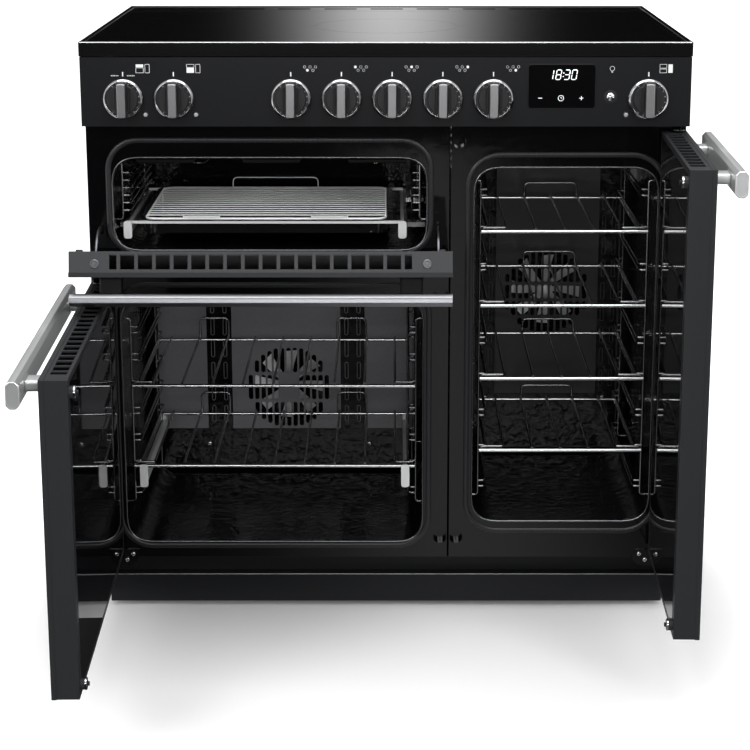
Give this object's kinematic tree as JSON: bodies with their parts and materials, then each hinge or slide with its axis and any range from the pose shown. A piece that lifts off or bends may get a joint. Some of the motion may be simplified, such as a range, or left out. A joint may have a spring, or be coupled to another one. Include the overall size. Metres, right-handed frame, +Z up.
{
  "type": "range cooker with double oven",
  "caption": "Freestanding range cooker: flat induction hob over a knob fascia, wide oven under a drop-down grill, and a tall side oven.",
  "frame": {"origin": "middle of the footprint on the floor, measured with all doors open as stored", "axes": "+X to the cooker's right as one faces it, +Y to the back, +Z up"},
  "size_m": [0.9796, 1.1338, 0.908],
  "materials": {
    "casing_paint": "satin charcoal-black paint",
    "frame_enamel": "glossy black enamel",
    "door_enamel": "satin black enamel",
    "galvanised": "galvanised steel",
    "cavity_enamel": "glossy black vitreous enamel",
    "cover_enamel": "dark grey enamel",
    "trim_black": "black trim",
    "ceramic_glass": "black ceramic glass",
    "door_glass": "dark tinted glass",
    "lens_glass": "dark gloss lens",
    "lamp_glass": "frosted lamp glass",
    "handle_aluminium": "polished aluminium",
    "knob_metal": "satin metal grip on a black skirt",
    "chrome_wire": "chrome-plated wire",
    "bright_steel": "bright plated steel",
    "fan_steel": "plain steel",
    "seal_rubber": "black silicone rubber",
    "roller_plastic": "grey-black plastic",
    "switch_plastic": "black plastic"
  },
  "bodies": {
    "cooker": {"base_tray": "casing_paint", "levelling_feet": "bright_steel", "plinth": "casing_paint", "side_panels": "casing_paint", "back_panel": "galvanised", "terminal_box": "switch_plastic", "front_frames": "frame_enamel", "service_deck": "galvanised", "cavity_seals": "seal_rubber", "control_panel": "casing_paint", "panel_lenses": "lens_glass", "control_switches": "switch_plastic", "hob_frame": "trim_black", "hob_glass": "ceramic_glass", "rear_vent": "trim_black", "induction_unit": "galvanised", "grill_liner": "cavity_enamel", "oven_liner_left": "cavity_enamel", "oven_liner_right": "cavity_enamel", "fan_covers": "cover_enamel", "fan_motors": "fan_steel", "heating_elements": "fan_steel", "oven_lamps": "lamp_glass", "shelf_supports": "chrome_wire", "hinge_brackets": "frame_enamel"},
    "left_door": {"door_skin_left": "casing_paint", "door_frame_left": "door_enamel", "door_glass_left": "door_glass", "door_handle_left": "handle_aluminium"},
    "right_door": {"door_skin_right": "casing_paint", "door_frame_right": "door_enamel", "door_glass_right": "door_glass", "door_handle_right": "handle_aluminium"},
    "grill_door": {"grill_door_skin": "casing_paint", "grill_door_frame": "door_enamel", "grill_door_glass": "door_glass", "grill_door_handle": "handle_aluminium", "grill_stays": "bright_steel"},
    "light_push": {"light_button": "switch_plastic"},
    "left_glide": {"runners_left": "bright_steel", "shelf_left_lower": "chrome_wire"},
    "left_plain_shelf": {"shelf_left_upper": "chrome_wire"},
    "grill_glide": {"grill_runners": "bright_steel", "grill_pan": "cavity_enamel"},
    "trivet": {"grill_trivet": "chrome_wire"},
    "left_fan": {"fan_left": "fan_steel"},
    "right_fan": {"fan_right": "fan_steel"},
    "rollers": {"rear_rollers": "roller_plastic"},
    "control_1": {"knob_1": "knob_metal"},
    "control_2": {"knob_2": "knob_metal"},
    "control_3": {"knob_3": "knob_metal"},
    "control_4": {"knob_4": "knob_metal"},
    "control_5": {"knob_5": "knob_metal"},
    "control_6": {"knob_6": "knob_metal"},
    "control_7": {"knob_7": "knob_metal"},
    "control_8": {"knob_8": "knob_metal"},
    "right_shelf_1": {"shelf_right_1": "chrome_wire"},
    "right_shelf_2": {"shelf_right_2": "chrome_wire"},
    "right_shelf_3": {"shelf_right_3": "chrome_wire"},
    "right_shelf_4": {"shelf_right_4": "chrome_wire"}
  },
  "joints": [
    {"name": "left_oven_door", "type": "hinge", "parent": "cooker", "child": "left_door", "pos_m": [-0.434, -0.03611, 0.325], "axis": [0, 0, -1], "range_deg": [-88.5, 1.5]},
    {"name": "right_oven_door", "type": "hinge", "parent": "cooker", "child": "right_door", "pos_m": [0.434, -0.03611, 0.44], "axis": [0, 0, 1], "range_deg": [-88.5, 1.5]},
    {"name": "grill_door_hinge", "type": "hinge", "parent": "cooker", "child": "grill_door", "pos_m": [-0.176, -0.02811, 0.574], "axis": [1, 0, 0], "range_deg": [-77.5, 0]},
    {"name": "light_press", "type": "slide", "parent": "cooker", "child": "light_push", "axis": [0, 1, 0], "range_m": [0, 0.0025], "stiffness_N_per_m": 400},
    {"name": "left_shelf_glide", "type": "slide", "parent": "cooker", "child": "left_glide", "axis": [0, -1, 0], "range_m": [0, 0.28]},
    {"name": "left_shelf_pull", "type": "slide", "parent": "cooker", "child": "left_plain_shelf", "axis": [0, -1, 0], "range_m": [0, 0.19]},
    {"name": "grill_pan_glide", "type": "slide", "parent": "cooker", "child": "grill_glide", "axis": [0, -1, 0], "range_m": [0, 0.09]},
    {"name": "trivet_lift", "type": "slide", "parent": "grill_glide", "child": "trivet", "axis": [0, 0, 1], "range_m": [0, 0.04]},
    {"name": "left_fan_spin", "type": "hinge", "parent": "cooker", "child": "left_fan", "pos_m": [-0.17, 0.38989, 0.2675], "axis": [0, 1, 0], "continuous": true},
    {"name": "right_fan_spin", "type": "hinge", "parent": "cooker", "child": "right_fan", "pos_m": [0.273, 0.38989, 0.438], "axis": [0, 1, 0], "continuous": true},
    {"name": "rear_roller_spin", "type": "hinge", "parent": "cooker", "child": "rollers", "pos_m": [0, 0.48989, 0.022], "axis": [1, 0, 0], "continuous": true},
    {"name": "knob_1_turn", "type": "hinge", "parent": "cooker", "child": "control_1", "pos_m": [-0.386, -0.05111, 0.825], "axis": [0, 1, 0], "range_deg": [0, 270]},
    {"name": "knob_2_turn", "type": "hinge", "parent": "cooker", "child": "control_2", "pos_m": [-0.3116, -0.05111, 0.825], "axis": [0, 1, 0], "range_deg": [0, 270]},
    {"name": "knob_3_turn", "type": "hinge", "parent": "cooker", "child": "control_3", "pos_m": [-0.1394, -0.05111, 0.825], "axis": [0, 1, 0], "range_deg": [0, 270]},
    {"name": "knob_4_turn", "type": "hinge", "parent": "cooker", "child": "control_4", "pos_m": [-0.065, -0.05111, 0.825], "axis": [0, 1, 0], "range_deg": [0, 270]},
    {"name": "knob_5_turn", "type": "hinge", "parent": "cooker", "child": "control_5", "pos_m": [0.0094, -0.05111, 0.825], "axis": [0, 1, 0], "range_deg": [0, 270]},
    {"name": "knob_6_turn", "type": "hinge", "parent": "cooker", "child": "control_6", "pos_m": [0.0838, -0.05111, 0.825], "axis": [0, 1, 0], "range_deg": [0, 270]},
    {"name": "knob_7_turn", "type": "hinge", "parent": "cooker", "child": "control_7", "pos_m": [0.1582, -0.05111, 0.825], "axis": [0, 1, 0], "range_deg": [0, 270]},
    {"name": "knob_8_turn", "type": "hinge", "parent": "cooker", "child": "control_8", "pos_m": [0.386, -0.05111, 0.825], "axis": [0, 1, 0], "range_deg": [0, 270]},
    {"name": "right_shelf_1_pull", "type": "slide", "parent": "cooker", "child": "right_shelf_1", "axis": [0, -1, 0], "range_m": [0, 0.19]},
    {"name": "right_shelf_2_pull", "type": "slide", "parent": "cooker", "child": "right_shelf_2", "axis": [0, -1, 0], "range_m": [0, 0.19]},
    {"name": "right_shelf_3_pull", "type": "slide", "parent": "cooker", "child": "right_shelf_3", "axis": [0, -1, 0], "range_m": [0, 0.19]},
    {"name": "right_shelf_4_pull", "type": "slide", "parent": "cooker", "child": "right_shelf_4", "axis": [0, -1, 0], "range_m": [0, 0.19]}
  ]
}
